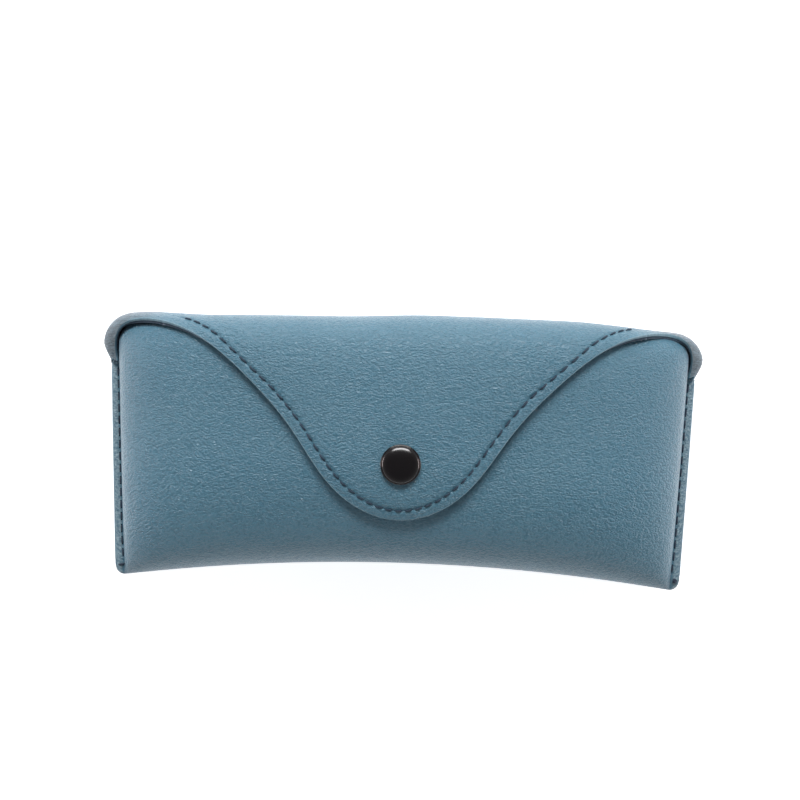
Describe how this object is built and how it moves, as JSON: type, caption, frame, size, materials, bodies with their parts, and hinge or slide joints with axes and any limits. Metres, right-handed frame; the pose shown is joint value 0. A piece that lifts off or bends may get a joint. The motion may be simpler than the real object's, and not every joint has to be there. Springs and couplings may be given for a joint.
{
  "type": "soft pouch glasses case",
  "caption": "Soft leather-look pouch for folded glasses, with a V-shaped flap that folds over the mouth and closes with a press stud.",
  "frame": {"origin": "centre of the bounding box's base, on the surface that the closed case lies on, back down", "axes": "+X along the case to the right, +Y from the bottom fold towards the flap's crest, +Z out of the front"},
  "size_m": [0.1742, 0.0776, 0.0476],
  "materials": {
    "leather": "fine grained teal blue synthetic leather with a soft sheen",
    "lining": "short napped microfibre lining",
    "thread": "dark navy twisted sewing thread",
    "flap_thread": "dark teal twisted sewing thread",
    "snap_black": "glossy black lacquer",
    "snap_metal": "dark nickel plated steel"
  },
  "bodies": {
    "pouch": {"front_panel": "leather", "back_panel": "leather", "front_lining": "lining", "back_lining": "lining", "side_seam_thread_left": "thread", "side_seam_thread_right": "thread", "seam_tack_left": "thread", "seam_knot_right": "thread", "snap_stud": "snap_metal", "snap_post": "snap_metal"},
    "roof": {"flap_roof": "leather", "roof_lining": "lining", "roof_edge_thread_left": "flap_thread", "roof_edge_thread_right": "flap_thread"},
    "tongue": {"flap_tongue": "leather", "tongue_lining": "lining", "tongue_edge_thread": "flap_thread", "snap_cap": "snap_black", "snap_socket": "snap_metal", "snap_spring": "snap_metal"}
  },
  "joints": [
    {"name": "roof_bend", "type": "hinge", "parent": "pouch", "child": "roof", "pos_m": [0, 0.0365, 0.0042], "axis": [-1, 0, 0], "range_deg": [0, 90]},
    {"name": "tongue_bend", "type": "hinge", "parent": "roof", "child": "tongue", "pos_m": [0, 0.03, 0.0442], "axis": [-1, 0, 0], "range_deg": [0, 90]}
  ],
  "couplings": [
    {"joint": "tongue_bend", "follows": "roof_bend", "ratio": 1}
  ]
}
